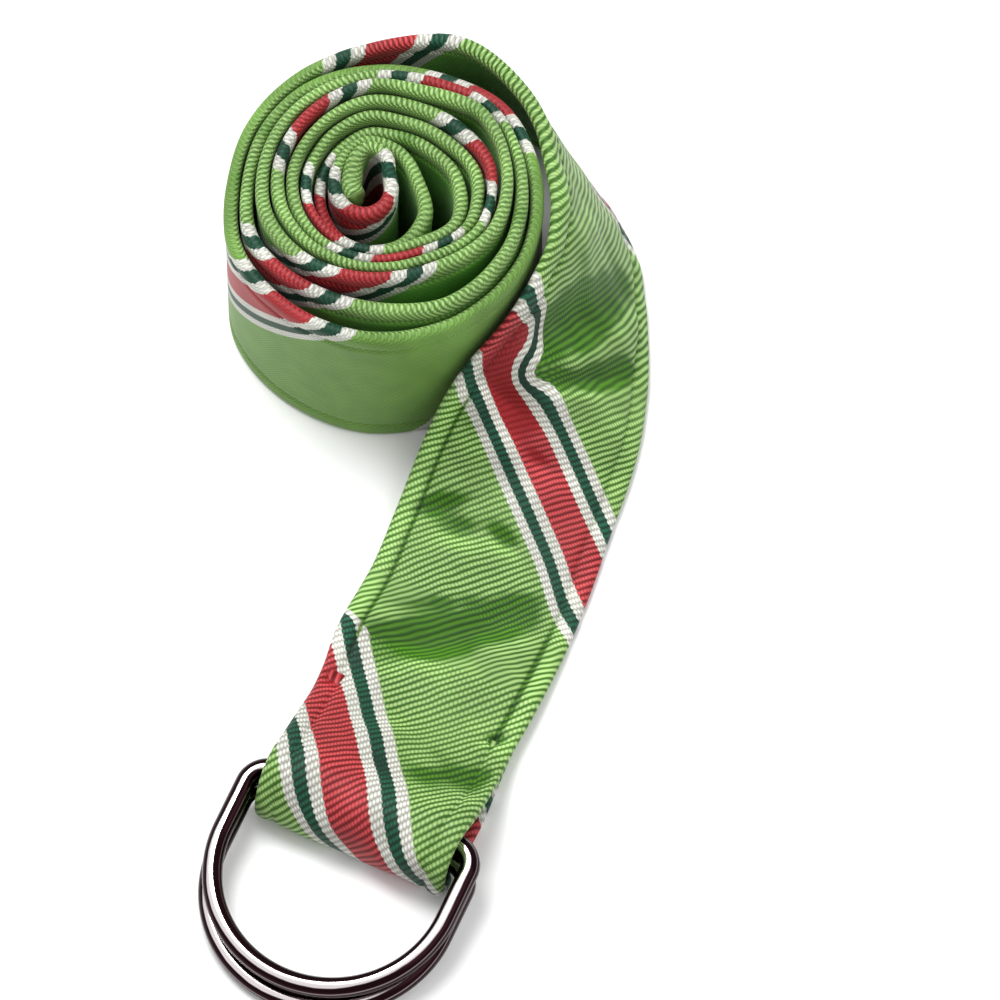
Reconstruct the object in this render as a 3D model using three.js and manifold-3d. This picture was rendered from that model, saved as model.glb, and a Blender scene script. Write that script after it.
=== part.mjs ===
// A striped silk belt with two D-rings: rolled up on its edge, with the ring end laid out flat.
// Millimetres, +Z up. The floor is z = 0. Places below are measured from the eye of the roll.
import * as THREE from 'three';
import Module from 'manifold-3d';

const wasm = await Module();
wasm.setup();

// The eye of the roll, seen from the middle of the whole belt
const EYE_X = -10.8;
const EYE_Y = 59.0;

// Strap
const STRAP_WIDTH = 38.5;
const STRAP_THICKNESS = 2.2;
const EDGE_ROUND = 0.8;
const EDGE_FLAT = 0.34;
const HALF_WIDTH = STRAP_WIDTH / 2;
const HALF_THICKNESS = STRAP_THICKNESS / 2;

// The roll, seen from above: how far the strap is from the eye at each hour, a row for each turn
const ROLL_HOURS = [
  'ten', 'nine', 'eight', 'seven', 'six', 'five', 'four', 'three', 'two', 'one', 'twelve', 'eleven',
];
const ROLL_START = 150;
const ROLL_TURNS = [
  [24.2, 24.6, 27.8, 29.9, 32.4, 33.3, 32.9, 30.9, 29.1, 24.9, 22.8, 22.0],
  [21.4, 21.9, 24.6, 25.5, 27.3, 30.5, 30.2, 28.3, 26.6, 22.3, 20.2, 18.8],
  [18.4, 19.2, 20.8, 21.6, 22.4, 23.6, 26.2, 25.7, 24.0, 19.0, 17.6, 16.0],
  [15.6, 16.4, 17.6, 18.8, 20.0, 21.2, 23.8, 22.7, 18.8, 15.8, 14.9, 13.4],
  [12.9, 13.7, 14.8, 16.3, 17.6, 18.8, 21.4, 20.2, 15.6, 13.0, 12.3, 11.0],
  [10.4, 11.1, 12.4, 13.9, 15.2, 16.4, 18.9, 16.3, 12.4, 10.4, 9.8, 8.5],
  [8.0, 8.6, 10.0, 11.5, 12.8, 13.6, 12.3, 9.1, 8.2, 7.8, 7.4, 6.1],
  [5.6, 6.1, 6.8, 7.4, 7.4, 6.6, 5.2, 4.0, 4.4, 4.9, 5.0, 3.8],
  [3.0, 2.8, 3.5, 4.4],
];
const FINE_TURNS = 5;
const FINE_STEPS = 3;
const COARSE_STEPS = 2;

// How far the strap has crept up from the floor, or sagged, by turns in from the start of the roll
const ROLL_RISE = [
  { turns: 0, rise: 0 },
  { turns: 0.6, rise: 0 },
  { turns: 1.6, rise: 3.0 },
  { turns: 2.6, rise: 5.0 },
  { turns: 3.6, rise: 4.0 },
  { turns: 4.6, rise: 2.5 },
  { turns: 5.6, rise: 1.5 },
  { turns: 6.0, rise: 0 },
  { turns: 6.3, rise: -3.5 },
  { turns: 6.6, rise: 0.5 },
  { turns: 7.0, rise: 3.0 },
  { turns: 7.3, rise: 1.5 },
  { turns: 7.7, rise: 4.5 },
  { turns: 8.3, rise: 2.0 },
];

// The free run from the ring end up onto the outside of the roll: its two edges, a row for each section
const RUN_COLUMNS = ['leftX', 'leftY', 'leftZ', 'rightX', 'rightY', 'rightZ'];
const RUN_ROWS = [
  [-5.6, -74.4, 3.0, 31.0, -91.8, 2.8],
  [0.9, -60.9, 1.6, 37.0, -78.0, 1.4],
  [5.6, -49.2, 3.4, 41.3, -66.2, 1.1],
  [10.2, -39.0, 9.0, 44.9, -54.7, 1.1],
  [14.8, -33.6, 18.6, 48.5, -43.5, 1.0],
  [19.1, -30.8, 25.8, 50.4, -35.1, 0.9],
  [25.4, -25.8, 31.6, 51.5, -25.2, 0.7],
  [30.8, -18.2, 35.4, 51.6, -14.7, 0.5],
  [33.7, -11.5, 36.6, 51.0, -7.0, 0.4],
  [34.0, 1.0, 37.4, 48.8, 4.9, 0.3],
  [29.4, 17.0, 38.0, 40.2, 18.4, 0.2],
  [16.8, 29.0, 38.3, 27.3, 31.0, 0.1],
  [0.0, 27.4, 38.5, 9.0, 33.0, 0.0],
  [-12.4, 21.7, 38.5, -9.5, 25.5, 0.0],
];
const RUN_STEPS = 3;

// The loop at the ring end: the middle of the cloth from the side, from the hidden layer round to the top,
// with how far it is shifted to the right and how much wider it is
const LOOP_TIP_X = -3.4;
const LOOP_TIP_Y = -121.4;
const LOOP_HEADING = 20.6;
const LOOP_ACROSS = -26;
const LOOP_ROWS = [
  { back: 33, height: 1.1, shift: 0.8, widen: 0.4 },
  { back: 26, height: 1.1, shift: 0.8, widen: 0.4 },
  { back: 18, height: 1.1, shift: 0.8, widen: 0.4 },
  { back: 11, height: 1.1, shift: 0.4, widen: 0.2 },
  { back: 5.4, height: 1.1, shift: 0, widen: 0 },
  { back: 2.0, height: 2.6, shift: 0, widen: 0 },
  { back: 1.1, height: 5.6, shift: 0, widen: 0 },
  { back: 2.0, height: 9.2, shift: 0, widen: 0 },
  { back: 4.8, height: 12.4, shift: 0, widen: 0.2 },
  { back: 8.8, height: 13.6, shift: 0.3, widen: 0.5 },
  { back: 13.6, height: 12.3, shift: 0.8, widen: 0.8 },
  { back: 20, height: 8.9, shift: 1.0, widen: 0.8 },
  { back: 27, height: 5.1, shift: 1.2, widen: 0.5 },
  { back: 33, height: 3.5, shift: 1.1, widen: 0.7 },
];
const LOOP_STEPS = 2;
const SEAM_FROM = 28.5;
const SEAM_TO = 32.6;
const SEAM_HEIGHT = 2.8;
const SEAM_THICKNESS = 2.8;
const SEAM_SHIFT = 1.15;

// Soft dents in the free run: along the strap from the tip of the loop, in from its left edge
const DENTS = [
  { along: 24, across: 30, length: 9, breadth: 5, slant: 35, depth: 0.8 },
  { along: 54, across: 18, length: 15, breadth: 4.5, slant: 44, depth: 2.0 },
  { along: 75, across: 14, length: 9, breadth: 3.5, slant: 5, depth: 1.1 },
  { along: 100, across: 11, length: 9, breadth: 4, slant: -35, depth: 2.2 },
  { along: 120, across: 17, length: 15, breadth: 6, slant: 46, depth: 3.0 },
  { along: 113, across: 27, length: 8, breadth: 3, slant: 36, depth: 1.2 },
  { along: 86, across: 25, length: 12, breadth: 7, slant: 40, depth: -0.8 },
  { along: 136, across: 12, length: 10, breadth: 8, slant: 40, depth: -1.0 },
];

// D-rings, bent from round wire
const WIRE_RADIUS = 1.9;
const WIRE_SIDES = 12;
const RING_HALF_WIDTH = 22.3;
const RING_DEPTH = 36.3;
const RING_CORNER = 4.4;
const RING_ACROSS = -24.5;
const RING_CLEARANCE = 0.3;
const CORNER_STEPS = 5;
const BOW_STEPS = 24;
const LOWER_BAR_BACK = 6.4;
const LOWER_BAR_ASIDE = 0.5;
const LOWER_BAR_HEIGHT = 4.7;
const UPPER_BAR_SHIFT = 2.2;

const silk = new THREE.MeshStandardMaterial({ color: 0x8fc455, roughness: 0.62, metalness: 0 });
const chrome = new THREE.MeshStandardMaterial({ color: 0xd9d9de, roughness: 0.12, metalness: 1 });

const radians = THREE.MathUtils.degToRad;

function polar(radius, degrees) {
  const angle = radians(degrees);
  return new THREE.Vector3(radius * Math.cos(angle), radius * Math.sin(angle), 0);
}

// A closed body through sections with the same number of points, closed on itself or capped
function skin(sections, closed) {
  const sides = sections[0].length;
  const positions = [];
  const triangles = [];
  for (const section of sections) {
    for (const point of section) {
      positions.push(point.x, point.y, point.z);
    }
  }
  const spans = closed ? sections.length : sections.length - 1;
  for (let row = 0; row < spans; row += 1) {
    const here = row * sides;
    const next = ((row + 1) % sections.length) * sides;
    for (let side = 0; side < sides; side += 1) {
      const other = (side + 1) % sides;
      triangles.push(here + side, next + side, next + other);
      triangles.push(here + side, next + other, here + other);
    }
  }
  if (!closed) {
    const last = (sections.length - 1) * sides;
    for (let side = 1; side < sides - 1; side += 1) {
      triangles.push(0, side, side + 1);
      triangles.push(last, last + side + 1, last + side);
    }
  }
  const geometry = new THREE.BufferGeometry();
  geometry.setAttribute('position', new THREE.Float32BufferAttribute(positions, 3));
  geometry.setIndex(triangles);
  return geometry;
}

function toManifold(geometry) {
  return new wasm.Manifold(new wasm.Mesh({
    numProp: 3,
    vertProperties: new Float32Array(geometry.getAttribute('position').array),
    triVerts: new Uint32Array(geometry.getIndex().array),
  }));
}

function fromManifold(solid) {
  const mesh = solid.getMesh();
  const geometry = new THREE.BufferGeometry();
  geometry.setAttribute('position', new THREE.Float32BufferAttribute(mesh.vertProperties, 3));
  geometry.setIndex(Array.from(mesh.triVerts));
  return geometry;
}

// The strap's section: the outer face from the right edge to the left, then the inner face back
function sectionOutline(halfWidth, halfThickness) {
  const inner = halfWidth - EDGE_ROUND;
  const quarter = halfWidth / 2;
  const flat = STRAP_THICKNESS * EDGE_FLAT;
  const face = [-inner, -quarter, 0, quarter, inner];
  const outline = face.map((across) => [across, halfThickness]);
  outline.push([halfWidth, flat], [halfWidth, -flat]);
  for (const across of face.toReversed()) {
    outline.push([across, -halfThickness]);
  }
  outline.push([-halfWidth, -flat], [-halfWidth, flat]);
  return outline;
}

function dentAt(along, across) {
  let lift = 0;
  for (const dent of DENTS) {
    const angle = radians(dent.slant);
    const forward = along - dent.along;
    const sideways = across - dent.across;
    const lengthwise = (forward * Math.sin(angle) + sideways * Math.cos(angle)) / dent.length;
    const breadthwise = (forward * Math.cos(angle) - sideways * Math.sin(angle)) / dent.breadth;
    lift -= dent.depth * Math.exp(-lengthwise * lengthwise - breadthwise * breadthwise);
  }
  return lift;
}

// Sections along a list of stations, each with a point on the left edge and one on the right.
// Cloth that would dip below the floor lies flat on it.
function sweep(stations, outline) {
  const middles = stations.map((station) => station.left.clone().add(station.right).multiplyScalar(0.5));
  return stations.map((station, index) => {
    const before = middles[Math.max(index - 1, 0)];
    const after = middles[Math.min(index + 1, middles.length - 1)];
    const along = after.clone().sub(before).normalize();
    const across = station.left.clone().sub(station.right).normalize();
    const outward = along.cross(across).normalize();
    const stretch = station.left.distanceTo(station.right) / STRAP_WIDTH;
    return outline.map(([sideways, depth]) => {
      const nearEdge = Math.abs(sideways) > HALF_WIDTH - EDGE_ROUND - 0.01;
      const lift = nearEdge ? 0 : dentAt(station.along, HALF_WIDTH - sideways);
      const point = middles[index].clone();
      point.addScaledVector(across, sideways * stretch).addScaledVector(outward, depth + lift);
      point.z = Math.max(point.z, 0);
      return point;
    });
  });
}

function loopPoint(back, aside, height) {
  const forward = polar(back, 90 - LOOP_HEADING);
  const point = new THREE.Vector3(LOOP_TIP_X, LOOP_TIP_Y, height);
  return point.add(forward).add(polar(aside, LOOP_ACROSS));
}

function loopStation(back, height, shift, widen) {
  return {
    left: loopPoint(back, shift - HALF_WIDTH, height),
    right: loopPoint(back, shift + HALF_WIDTH + widen, height),
  };
}

function riseAt(turns) {
  const after = ROLL_RISE.findIndex((row) => row.turns >= turns);
  if (after <= 0) {
    return ROLL_RISE[after === 0 ? 0 : ROLL_RISE.length - 1].rise;
  }
  const from = ROLL_RISE[after - 1];
  const to = ROLL_RISE[after];
  const share = THREE.MathUtils.smoothstep(turns, from.turns, to.turns);
  return THREE.MathUtils.lerp(from.rise, to.rise, share);
}

function rollStations() {
  const hours = ROLL_HOURS.length;
  return ROLL_TURNS.flat().map((radius, index) => {
    const right = polar(radius, ROLL_START + (360 * index) / hours);
    right.z = riseAt(index / hours);
    const left = right.clone();
    left.z += STRAP_WIDTH;
    return { left, right, steps: index < FINE_TURNS * hours ? FINE_STEPS : COARSE_STEPS };
  });
}

function runStations() {
  return RUN_ROWS.map((row) => {
    const at = Object.fromEntries(RUN_COLUMNS.map((name, index) => [name, row[index]]));
    return {
      left: new THREE.Vector3(at.leftX, at.leftY, at.leftZ),
      right: new THREE.Vector3(at.rightX, at.rightY, at.rightZ),
      steps: RUN_STEPS,
    };
  });
}

// Every section of the strap from the hidden layer of the loop to the inner end of the roll
function strapStations() {
  const loop = LOOP_ROWS.map((row) => ({
    ...loopStation(row.back, row.height, row.shift, row.widen),
    steps: LOOP_STEPS,
  }));
  const guides = [...loop, ...runStations(), ...rollStations()];
  const leftEdge = new THREE.CatmullRomCurve3(guides.map((guide) => guide.left));
  const rightEdge = new THREE.CatmullRomCurve3(guides.map((guide) => guide.right));
  const spans = guides.length - 1;
  const stations = [];
  for (let span = 0; span < spans; span += 1) {
    for (let step = 0; step < guides[span].steps; step += 1) {
      const share = (span + step / guides[span].steps) / spans;
      stations.push({ left: leftEdge.getPoint(share), right: rightEdge.getPoint(share) });
    }
  }
  stations.push({ left: guides[spans].left.clone(), right: guides[spans].right.clone() });
  measureAlong(stations);
  return stations;
}

// Writes how far each station is along the strap from the tip of the loop
function measureAlong(stations) {
  let travelled = 0;
  let tip = 0;
  let nearest = Infinity;
  stations.forEach((station, index) => {
    const middle = station.left.clone().add(station.right).multiplyScalar(0.5);
    if (index > 0) {
      travelled += middle.distanceTo(station.before);
    }
    station.along = travelled;
    if (index + 1 < stations.length) {
      stations[index + 1].before = middle;
    }
    if (middle.y < nearest) {
      nearest = middle.y;
      tip = travelled;
    }
  });
  for (const station of stations) {
    station.along -= tip;
  }
}

function buildStrap() {
  const ribbon = skin(sweep(strapStations(), sectionOutline(HALF_WIDTH, HALF_THICKNESS)), false);
  const seamStations = [SEAM_FROM, SEAM_TO].map((back) => loopStation(back, SEAM_HEIGHT, SEAM_SHIFT, 0));
  measureAlong(seamStations);
  const seamOutline = sectionOutline(HALF_WIDTH, SEAM_THICKNESS / 2);
  const seam = skin(sweep(seamStations, seamOutline), false);
  return fromManifold(toManifold(ribbon).add(toManifold(seam)));
}

// The middle of a D-ring's wire: the straight bar along X, the bow towards -Y
function ringPath() {
  const cornerX = RING_HALF_WIDTH - RING_CORNER;
  const bowY = RING_HALF_WIDTH - RING_DEPTH;
  const points = [];
  for (let step = 0; step <= CORNER_STEPS; step += 1) {
    const angle = (Math.PI / 2) * (1 - step / CORNER_STEPS);
    points.push([cornerX + RING_CORNER * Math.cos(angle), RING_CORNER * (Math.sin(angle) - 1)]);
  }
  for (let step = 0; step <= BOW_STEPS; step += 1) {
    const angle = -Math.PI * (step / BOW_STEPS);
    points.push([RING_HALF_WIDTH * Math.cos(angle), bowY + RING_HALF_WIDTH * Math.sin(angle)]);
  }
  for (let step = 0; step <= CORNER_STEPS; step += 1) {
    const angle = Math.PI - (Math.PI / 2) * (step / CORNER_STEPS);
    points.push([-cornerX + RING_CORNER * Math.cos(angle), RING_CORNER * (Math.sin(angle) - 1)]);
  }
  return points.map(([x, y]) => new THREE.Vector3(x, y, 0));
}

function buildRing() {
  const path = ringPath();
  const count = path.length;
  const sections = path.map((point, index) => {
    const before = path[(index + count - 1) % count];
    const after = path[(index + 1) % count];
    const towards = point.clone().sub(before).normalize();
    const onwards = after.clone().sub(point).normalize();
    const along = towards.clone().add(onwards).normalize();
    const miter = 1 / along.dot(onwards);
    const sideways = new THREE.Vector3(along.y, -along.x, 0).multiplyScalar(miter);
    const section = [];
    for (let side = 0; side < WIRE_SIDES; side += 1) {
      const angle = (2 * Math.PI * (side + 0.5)) / WIRE_SIDES;
      section.push(point.clone()
        .addScaledVector(sideways, WIRE_RADIUS * Math.cos(angle))
        .add(new THREE.Vector3(0, 0, WIRE_RADIUS * Math.sin(angle))));
    }
    return section;
  });
  return skin(sections, true);
}

// A ring with its bow sloping down to the floor, moved in its own plane and off it
function placeRing(name, shift, lift) {
  const mesh = new THREE.Mesh(buildRing(), chrome);
  mesh.name = name;
  const tilt = Math.asin((LOWER_BAR_HEIGHT - WIRE_RADIUS) / RING_DEPTH);
  mesh.rotation.set(tilt, 0, radians(RING_ACROSS), 'ZXY');
  mesh.position.set(0, shift, lift).applyEuler(mesh.rotation);
  mesh.position.add(loopPoint(LOWER_BAR_BACK, LOWER_BAR_ASIDE, LOWER_BAR_HEIGHT));
  return mesh;
}

const strap = new THREE.Mesh(buildStrap(), silk);
strap.name = 'strap';

const ringLower = placeRing('d_ring_lower', 0, 0);
const ringUpper = placeRing('d_ring_upper', UPPER_BAR_SHIFT, 2 * WIRE_RADIUS + RING_CLEARANCE);

const belt = new THREE.Group();
belt.add(strap, ringLower, ringUpper);
belt.position.set(EYE_X, EYE_Y, 0);

export default belt;
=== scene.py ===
import math

import bpy
import numpy as np
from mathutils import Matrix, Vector


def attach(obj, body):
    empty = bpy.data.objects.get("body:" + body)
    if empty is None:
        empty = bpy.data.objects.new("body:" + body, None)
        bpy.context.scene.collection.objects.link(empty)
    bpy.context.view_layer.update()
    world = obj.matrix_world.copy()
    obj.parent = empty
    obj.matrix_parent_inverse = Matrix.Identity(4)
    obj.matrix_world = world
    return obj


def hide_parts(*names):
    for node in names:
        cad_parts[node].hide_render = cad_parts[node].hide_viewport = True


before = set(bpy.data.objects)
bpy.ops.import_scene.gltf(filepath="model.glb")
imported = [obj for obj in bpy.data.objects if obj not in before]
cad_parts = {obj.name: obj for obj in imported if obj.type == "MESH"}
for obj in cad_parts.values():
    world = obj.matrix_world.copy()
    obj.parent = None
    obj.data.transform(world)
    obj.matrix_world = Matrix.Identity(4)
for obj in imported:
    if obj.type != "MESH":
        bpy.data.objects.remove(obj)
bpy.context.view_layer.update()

MM = 0.001

# Lengths are in millimetres, up to the studio. Places on the belt are measured from the eye of the roll on
# the floor, and places along the strap from the tip of the loop.
EYE = np.array([-10.8, 59.0, 0.0])

# Strap
STRAP_WIDTH = 38.5
HALF_WIDTH = STRAP_WIDTH / 2
STRAP_THICKNESS = 2.2
HALF_THICKNESS = STRAP_THICKNESS / 2
STRAP_LENGTH = 1133

# Sections of the strap: their spacing over the run, where that ends, and their spacing over the roll
RUN_SPACING = 0.7
RUN_LENGTH = 190
ROLL_SPACING = 1.0

# Curves through the points of the tables
CURVE_SAMPLES = 24000
SMALLEST_GAP = 1e-4

# Lines of points along a face of the strap: how far in from an edge, and off the crease
EDGE_LINES = [0.0, 0.12, 0.4, 0.9, 1.6, 2.4]
CREASE_LINES = [-0.8, -0.4, 0.0, 0.4, 0.8]
FACE_LINES = [5.6, 6.8, 8.2, 9.8, 11.4, 13.0, 14.6, 16.2, 17.8]

# The roll, seen from above: how far the strap is from the eye, a row for each turn and a column for each
# hour, from ten o'clock at 150 degrees through nine to eleven
ROLL_START = 150
HOURS = 12
ROLL_TURNS = [
    [24.2, 24.6, 27.8, 29.9, 32.4, 33.3, 32.9, 30.9, 29.1, 24.9, 22.8, 22.0],
    [21.4, 21.9, 24.6, 25.5, 27.3, 30.5, 30.2, 28.3, 26.6, 22.3, 20.2, 18.8],
    [18.4, 19.2, 20.8, 21.6, 22.4, 23.6, 26.2, 25.7, 24.0, 19.0, 17.6, 16.0],
    [15.6, 16.4, 17.6, 18.8, 20.0, 21.2, 23.8, 22.7, 18.8, 15.8, 14.9, 13.4],
    [12.9, 13.7, 14.8, 16.3, 17.6, 18.8, 21.4, 20.2, 15.6, 13.0, 12.3, 11.0],
    [10.4, 11.1, 12.4, 13.9, 15.2, 16.4, 18.9, 16.3, 12.4, 10.4, 9.8, 8.5],
    [8.0, 8.6, 10.0, 11.5, 12.8, 13.6, 12.3, 9.1, 8.2, 7.8, 7.4, 6.1],
    [5.6, 6.1, 6.8, 7.4, 7.4, 6.6, 5.2, 4.0, 4.4, 4.9, 5.0, 3.8],
    [3.0, 2.8, 3.5, 4.4],
]

# How far the strap has crept up from the floor, or sagged, by turns in from the start of the roll
ROLL_RISE_TURNS = [0, 0.6, 1.6, 2.6, 3.6, 4.6, 5.6, 6.0, 6.3, 6.6, 7.0, 7.3, 7.7, 8.3]
ROLL_RISE = [0, 0, 3.0, 5.0, 4.0, 2.5, 1.5, 0, -3.5, 0.5, 3.0, 1.5, 4.5, 2.0]

# The free run: left edge x, y, z and right edge x, y, z, a row for each section
RUN_ROWS = [
    [-5.6, -74.4, 3.0, 31.0, -91.8, 2.8],
    [0.9, -60.9, 1.6, 37.0, -78.0, 1.4],
    [5.6, -49.2, 3.4, 41.3, -66.2, 1.1],
    [10.2, -39.0, 9.0, 44.9, -54.7, 1.1],
    [14.8, -33.6, 18.6, 48.5, -43.5, 1.0],
    [19.1, -30.8, 25.8, 50.4, -35.1, 0.9],
    [25.4, -25.8, 31.6, 51.5, -25.2, 0.7],
    [30.8, -18.2, 35.4, 51.6, -14.7, 0.5],
    [33.7, -11.5, 36.6, 51.0, -7.0, 0.4],
    [34.0, 1.0, 37.4, 48.8, 4.9, 0.3],
    [29.4, 17.0, 38.0, 40.2, 18.4, 0.2],
    [16.8, 29.0, 38.3, 27.3, 31.0, 0.1],
    [0.0, 27.4, 38.5, 9.0, 33.0, 0.0],
    [-12.4, 21.7, 38.5, -9.5, 25.5, 0.0],
]

# The loop at the ring end: how far back from its tip and how high the middle of the cloth is, how far it
# is shifted to the right and how much wider it is
LOOP_TIP = (-3.4, -121.4)
LOOP_HEADING = 20.6
LOOP_ACROSS = -26
LOOP_TIP_ROW = 6
LOOP_ROWS = [
    [33, 1.1, 0.8, 0.4],
    [26, 1.1, 0.8, 0.4],
    [18, 1.1, 0.8, 0.4],
    [11, 1.1, 0.4, 0.2],
    [5.4, 1.1, 0, 0],
    [2.0, 2.6, 0, 0],
    [1.1, 5.6, 0, 0],
    [2.0, 9.2, 0, 0],
    [4.8, 12.4, 0, 0.2],
    [8.8, 13.6, 0.3, 0.5],
    [13.6, 12.3, 0.8, 0.8],
    [20, 8.9, 1.0, 0.8],
    [27, 5.1, 1.2, 0.5],
    [33, 3.5, 1.1, 0.7],
]

# The sewn block between the loop's two layers, by how far back from the tip it starts and ends
SEAM_FROM = 28.5
SEAM_TO = 32.6
SEAM_HEIGHT = 2.8
SEAM_THICKNESS = 2.8
SEAM_SHIFT = 1.15

# Soft dents in the free run: along and across the strap, long and broad radius, slant, depth
DENTS = [
    [24, 30, 9, 5, 35, 0.8],
    [54, 18, 15, 4.5, 44, 2.0],
    [75, 14, 9, 3.5, 5, 1.1],
    [100, 11, 9, 4, -35, 2.2],
    [120, 17, 15, 6, 46, 3.0],
    [113, 27, 8, 3, 36, 1.2],
    [86, 25, 12, 7, 40, -0.8],
    [136, 12, 10, 8, 40, -1.0],
]

# Finer dents on top of those, in the same columns
FINE_DENTS = [
    [118, 14, 10, 4, 50, 0.7],
    [111, 25, 11, 1.8, 25, 1.2],
    [78, 8, 7, 1.8, 35, 1.2],
    [76.5, 20.5, 3, 1.6, -10, 0.9],
    [50.5, 11.5, 8, 2.4, 20, 0.9],
    [60, 23, 13, 2.4, 50, 0.9],
    [59, 13, 11, 1.8, 30, 0.7],
    [101, 11, 5, 1.8, -10, 0.9],
    [93, 21.5, 3, 1.4, -10, 0.7],
    [38.5, 35, 4, 1.2, 35, 1.1],
    [24, 30, 11, 2.2, 35, 0.8],
    [36, 2, 2.5, 2.5, 10, 0.7],
    [19, 17, 6, 3, 30, 0.5],
    [113.5, 20, 12, 2.5, 30, -0.6],
    [72, 14, 9, 4, 5, -0.8],
    [45, 18.5, 11, 3, 30, -0.6],
]
DENT_EDGE_FADE = 2.0

# Faint ripples of the free run: wavelength along and across, phase in turns, height
RIPPLES = [
    [17, 31, 0.1, 0.16],
    [11, -19, 0.6, 0.12],
    [23, -13, 0.3, 0.14],
    [7.5, 12, 0.8, 0.07],
]
RIPPLE_FADE = (145, 165)

# The roll's rim, where the folded edge swells towards its neighbours, and the thick inner end
RIM_START = 120
RIM_SWELL_LENGTH = 25
RIM_GAP = 0.25
RIM_HALF_THINNEST = 0.95
RIM_HALF_THICKEST = 1.5
RIM_FADE = (3.0, 7.5)
FAR_OFF = 1000
LOBE_LENGTH = 12
LOBE_HALF_THICKNESS = 2.2

# Unevenness along the roll's rims: wavelength, phase in turns and share of each wave, then how much it
# thins the rim, moves it up and down and lightens and darkens it
RIM_WAVES = [(41.0, 0.15, 0.45), (23.0, 0.60, 0.35), (9.7, 0.30, 0.20)]
RIM_WAVES_START = (160, 200)
RIM_PINCH = 0.22
RIM_WAVER = 0.35
RIM_WAVER_PHASE = 0.4
RIM_TONE = 0.7
RIM_TONE_PHASE = 0.7

# Pressed crease inside each edge
CREASE_INSET = 3.9
CREASE_HALF_WIDTH = 0.55
CREASE_DEPTH = 0.5

# Where each crease's painted shade and margin highlight start to show along the strap, where they grow
# faint and by how much, and the shade's spread
LEFT_CREASE = {"start": (38, 46), "faint": (94, 102), "spread": 0.42}
RIGHT_CREASE = {"start": (33, 38), "faint": (58, 70), "spread": 0.6}
CREASE_LOSS = 0.6

# Painted highlight on the margin that the crease leaves along the edge
MARGIN_PAINTED_LIGHT = 1.1
MARGIN_OFF_CREASE = 2.1
MARGIN_SPREAD = 1.5

# Places along the strap between which it is rolled up, its inner face comes inside, and the outermost turn
# ends, and how far below the rim the inside starts
ROLLED_UP = (185, 215)
FACE_TURNED_IN = (135, 165)
OUTERMOST_END = (390, 410)
INSIDE_BELOW_RIM = (2.6, 6.0)

# Depth at which a dent's painted shade starts to show and depth over which it deepens, and the slope that
# gets the full painted light or shade
HOLLOW_START = 0.2
HOLLOW_DEPTH = 1.05
FULL_TONE_SLOPE = 0.45

# How far the ribs are pressed out on the roll's rims and on its outside, which evens out their painted
# light and shade
RIM_CALM = 0.22
OUTSIDE_CALM = 0.8

# Stripes: where their middles meet the strap's left edge, their spacing there, and the widths of their
# colours, square to them
STRIPE_CENTRES = [
    24.6, 115.8, 196, 270, 356, 438, 525, 603, 690, 769, 848, 927, 1006, 1072,
]
STRIPE_PITCH = 79.3
STRIPE_HALF_SPAN = 14
RED_HALF = 3.35
INNER_WHITE = 2.05
TEAL = 2.15
OUTER_WHITE = 1.85

# How far the stripes are drawn back along the stretched end of the strap, by place along it
DRAW_ALONG = [5, 20, 49, 61]
DRAW_BACK = [0, -4.6, -16.5, 0]

# Where dents pull the stripes along: place along and across the strap, long and broad radius, pull
STRIPE_PULLS = [
    [111, 12, 4.5, 4, 5.5],
    [118.5, 6.5, 5, 4, -5.0],
    [104, 15, 5, 5, 1.0],
    [99, 2, 4, 3, 1.0],
    [68, 35, 9, 6, 2.0],
]

# Ribs: their spacing, and how closely they lie along and across the strap, by place along it
RIB_PITCH = 0.95
RIB_STEP = 1.0
RIB_ALONG = [-35, 25, 42, 52, 70, 100, 130, 160, 200]
RIB_RATE_ALONG = [0.74, 0.73, 0.80, 0.90, 0.86, 0.80, 0.64, 0.66, 1.3]
RIB_RATE_ACROSS = [0.84, 0.84, 0.86, 0.90, 0.86, 0.82, 0.72, 0.72, 1.3]

# D-rings
WIRE_RADIUS = 1.9
RING_HALF_WIDTH = 22.3
RING_DEPTH = 36.3
RING_CORNER = 4.4
RING_ACROSS = -24.5
RING_CLEARANCE = 0.3
LOWER_BAR_BACK = 6.4
LOWER_BAR_ASIDE = 0.5
LOWER_BAR_HEIGHT = 4.7
UPPER_BAR_SHIFT = 2.2
WIRE_SIDES = 32
CORNER_STEPS = 14
BOW_STEPS = 96

# Colours of the silk as red, green and blue from 0 to 255: each ridge colour carries painted light on the
# rib ridges and each groove colour painted shade in the grooves between them
GREEN_LIT_RIDGE = (141, 173, 104)
GREEN_SHADED_GROOVE = (48, 88, 18)
# Painted shade in dents: darker, deeper green for the ridges and grooves there
GREEN_DENT_SHADE_RIDGE = (66, 112, 22)
GREEN_DENT_SHADE_GROOVE = (28, 66, 5)
# Painted light on the roll's inner faces, a brighter saturated green
GREEN_INSIDE_PAINTED_LIGHT = (90, 156, 54)
# Painted shade on the roll's outer wall
GREEN_OUTSIDE_PAINTED_SHADE = (86, 124, 48)
RED_LIT_RIDGE = (178, 66, 69)
RED_SHADED_GROOVE = (98, 7, 11)
# Painted shade of the red in dents and in the roll
RED_PAINTED_SHADE = (122, 6, 14)
WHITE_LIT_RIDGE = (194, 196, 187)
WHITE_SHADED_GROOVE = (150, 148, 140)
TEAL_LIT_RIDGE = (24, 76, 54)
# The shaded teal groove colour also serves as the teal's painted shade in dents and in the roll
TEAL_SHADED_GROOVE = (7, 40, 28)
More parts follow.
